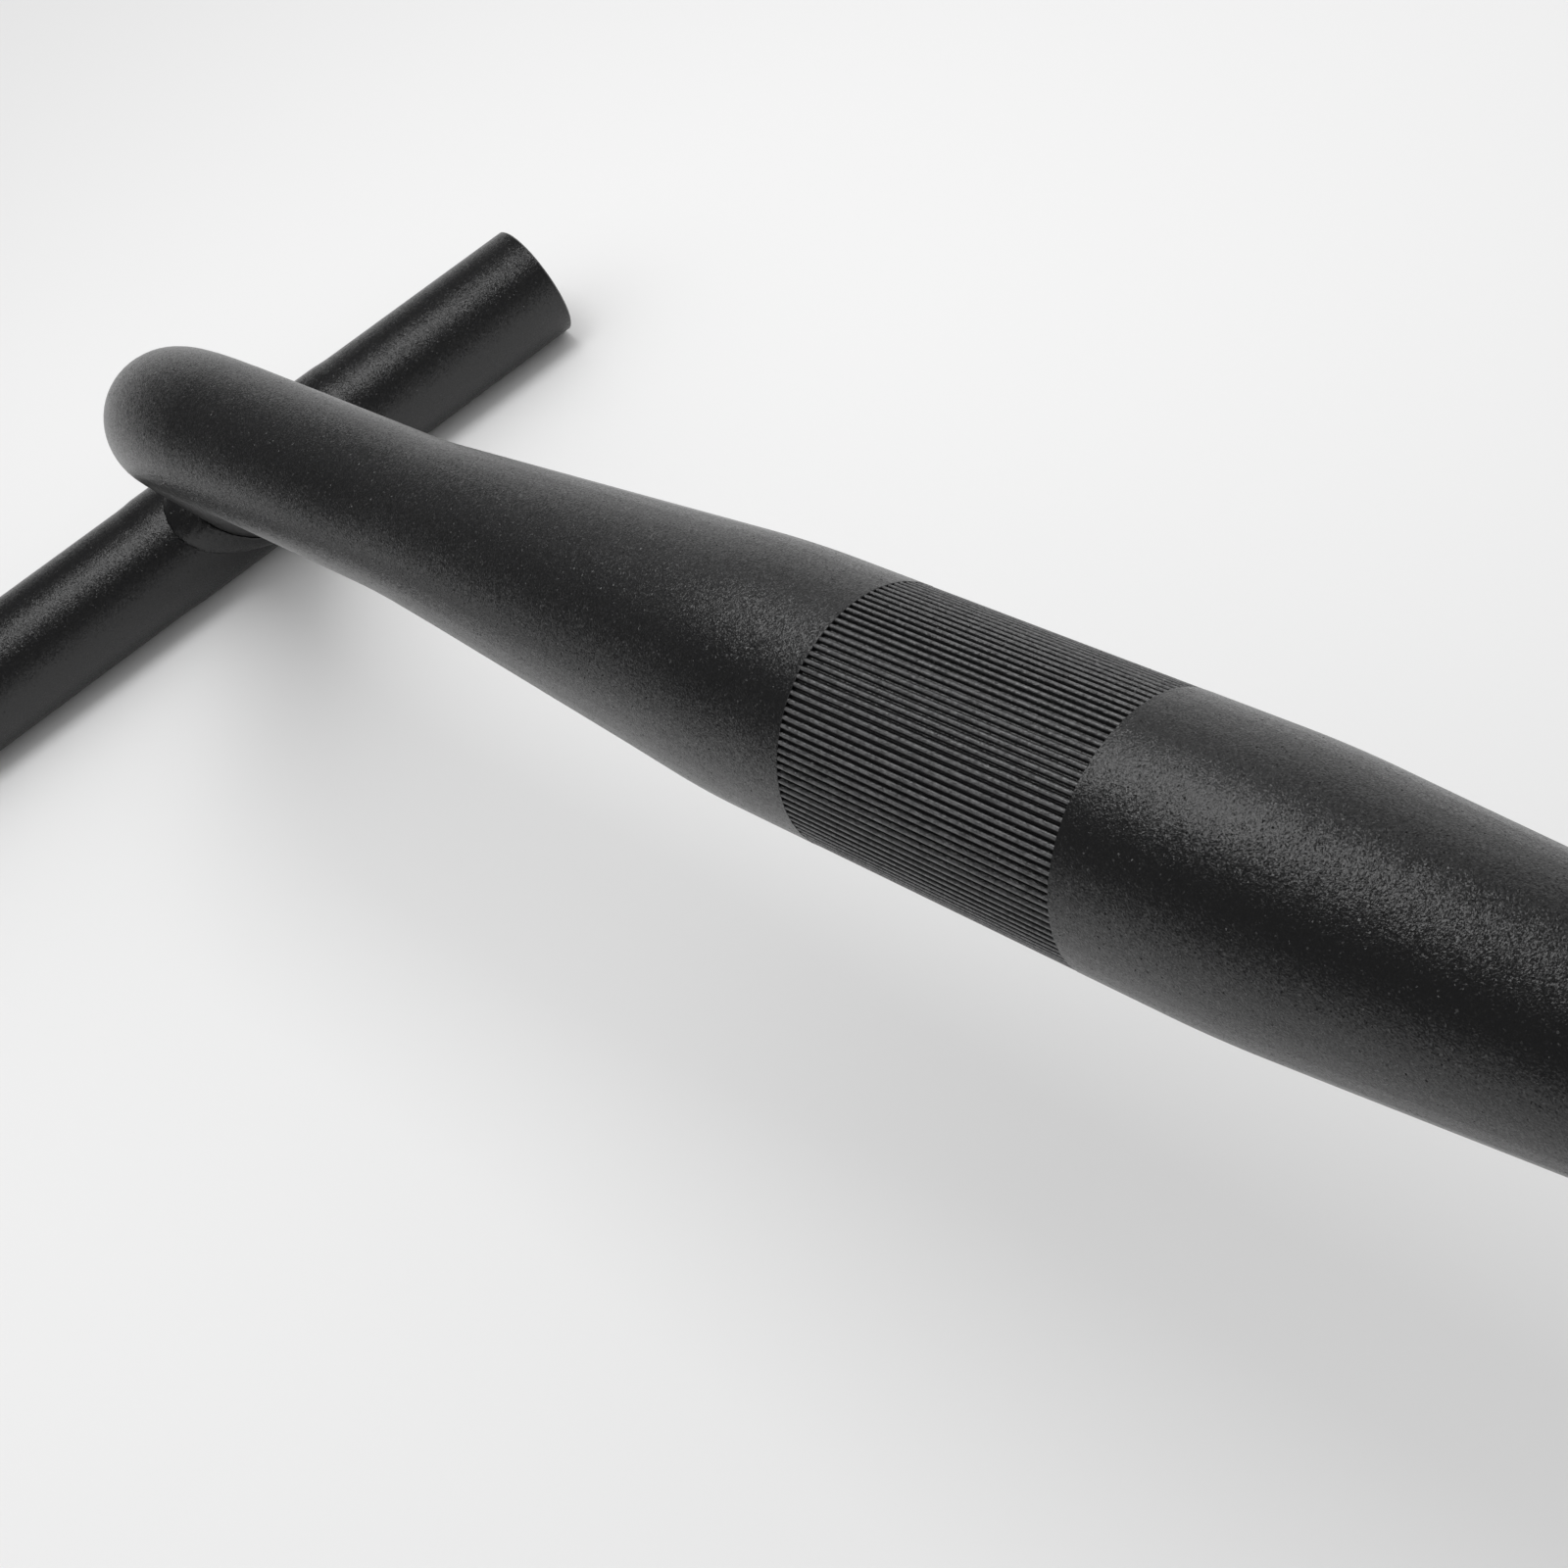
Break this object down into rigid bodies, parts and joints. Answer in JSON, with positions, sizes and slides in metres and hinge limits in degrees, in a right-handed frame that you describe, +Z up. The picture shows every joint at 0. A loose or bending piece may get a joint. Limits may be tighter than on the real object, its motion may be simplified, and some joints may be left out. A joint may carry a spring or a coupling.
{
  "type": "touring bike handlebar",
  "caption": "Welded touring handlebar: a grooved and tapered centre tube bends down at both ends on to straight side tubes with short front horns and long rear grips.",
  "frame": {"origin": "middle of the stem clamp, on the axis of the centre tube", "axes": "+X to the rider's right along the clamp, +Y forward towards the horns, +Z up; the side tubes lie level below the clamp"},
  "size_m": [0.5544, 0.2304, 0.0912],
  "materials": {
    "tube_coat": "fine matte black powder coat over chromoly steel",
    "weld_coat": "fine matte black powder coat over a steel weld bead"
  },
  "bodies": {
    "root": {"centre_tube": "tube_coat", "left_side_tube": "tube_coat", "right_side_tube": "tube_coat", "left_weld_bead": "weld_coat", "right_weld_bead": "weld_coat"}
  },
  "joints": []
}
